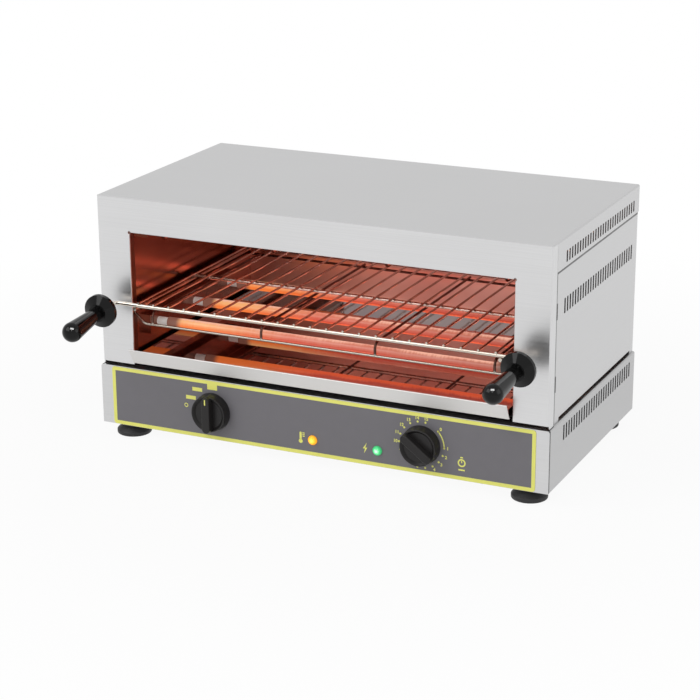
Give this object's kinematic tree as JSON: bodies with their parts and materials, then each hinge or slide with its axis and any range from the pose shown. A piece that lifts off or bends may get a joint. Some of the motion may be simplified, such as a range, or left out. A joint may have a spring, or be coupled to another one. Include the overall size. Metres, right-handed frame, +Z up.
{
  "type": "salamander grill",
  "caption": "Countertop open-front quartz toaster salamander with a slide-out wire rack, crumb tray, selector and timer knobs on a control base.",
  "frame": {"origin": "middle of the footprint, handles and cable gland included, on the surface that the feet stand on", "axes": "+X to the right along the front, +Y from the open front to the back, +Z up"},
  "size_m": [0.64, 0.4902, 0.335],
  "materials": {
    "brushed_stainless": "satin brushed",
    "bright_liner": "bright annealed",
    "tray_steel": "polished",
    "printed_film": "grey print with a yellow-green border",
    "foot_rubber": "moulded",
    "zinc_fastener": "plated",
    "glowing_quartz": "milky, lit orange",
    "heating_element": "wound resistance wire",
    "white_ceramic": "glazed white",
    "bright_wire": "bright drawn wire",
    "black_grip": "moulded, glossy",
    "knob_plastic": "moulded, satin",
    "control_housing": "moulded",
    "black_nylon": "moulded",
    "amber_plastic": "clear tinted",
    "green_plastic": "clear tinted"
  },
  "bodies": {
    "housing": {"base_casing": "brushed_stainless", "base_front_panel": "brushed_stainless", "bottom_plate": "brushed_stainless", "front_frame": "brushed_stainless", "top_cover": "brushed_stainless", "side_panel_left": "brushed_stainless", "side_panel_right": "brushed_stainless", "rear_panel": "brushed_stainless", "deck_plate": "brushed_stainless", "side_liner_left": "bright_liner", "side_liner_right": "bright_liner", "ceiling_reflector": "bright_liner", "rack_rail_left": "bright_liner", "rack_rail_right": "bright_liner", "tray_runner_left": "bright_liner", "tray_runner_right": "bright_liner", "lower_carrier_left": "bright_liner", "lower_carrier_right": "bright_liner", "upper_carrier_left": "bright_liner", "upper_carrier_right": "bright_liner", "control_overlay": "printed_film", "foot_front_left": "foot_rubber", "foot_front_right": "foot_rubber", "foot_rear_left": "foot_rubber", "foot_rear_right": "foot_rubber", "foot_screws": "zinc_fastener", "foot_nuts": "zinc_fastener", "bottom_screws": "zinc_fastener", "rear_screws": "zinc_fastener", "lower_tube_front": "glowing_quartz", "lower_tube_middle": "glowing_quartz", "lower_tube_rear": "glowing_quartz", "lower_heater_coils": "heating_element", "lower_tube_plugs": "white_ceramic", "lower_tube_guard": "bright_wire", "upper_tube_front": "glowing_quartz", "upper_tube_middle": "glowing_quartz", "upper_tube_rear": "glowing_quartz", "upper_heater_coils": "heating_element", "upper_tube_plugs": "white_ceramic", "upper_tube_guard": "bright_wire", "selector_switch": "control_housing", "timer_unit": "control_housing", "lamp_holders": "control_housing", "terminal_block": "control_housing", "cable_gland": "black_nylon", "gland_nut": "black_nylon", "amber_lens": "amber_plastic", "green_lens": "green_plastic"},
    "rack": {"rack_grid": "bright_wire", "rack_handle_bar": "bright_wire", "handle_left": "black_grip", "handle_right": "black_grip"},
    "tray": {"crumb_tray": "tray_steel"},
    "selector": {"selector_knob": "knob_plastic", "selector_shaft": "zinc_fastener"},
    "timer": {"timer_knob": "knob_plastic", "timer_shaft": "zinc_fastener"}
  },
  "joints": [
    {"name": "rack_slide", "type": "slide", "parent": "housing", "child": "rack", "axis": [0, -1, 0], "range_m": [0, 0.2]},
    {"name": "tray_slide", "type": "slide", "parent": "housing", "child": "tray", "axis": [0, -1, 0], "range_m": [0, 0.25]},
    {"name": "selector_turn", "type": "hinge", "parent": "housing", "child": "selector", "pos_m": [-0.15, -0.11792, 0.0575], "axis": [0, 1, 0], "range_deg": [-90, 0]},
    {"name": "timer_turn", "type": "hinge", "parent": "housing", "child": "timer", "pos_m": [0.15, -0.11792, 0.0575], "axis": [0, 1, 0], "range_deg": [-269, 63]}
  ]
}
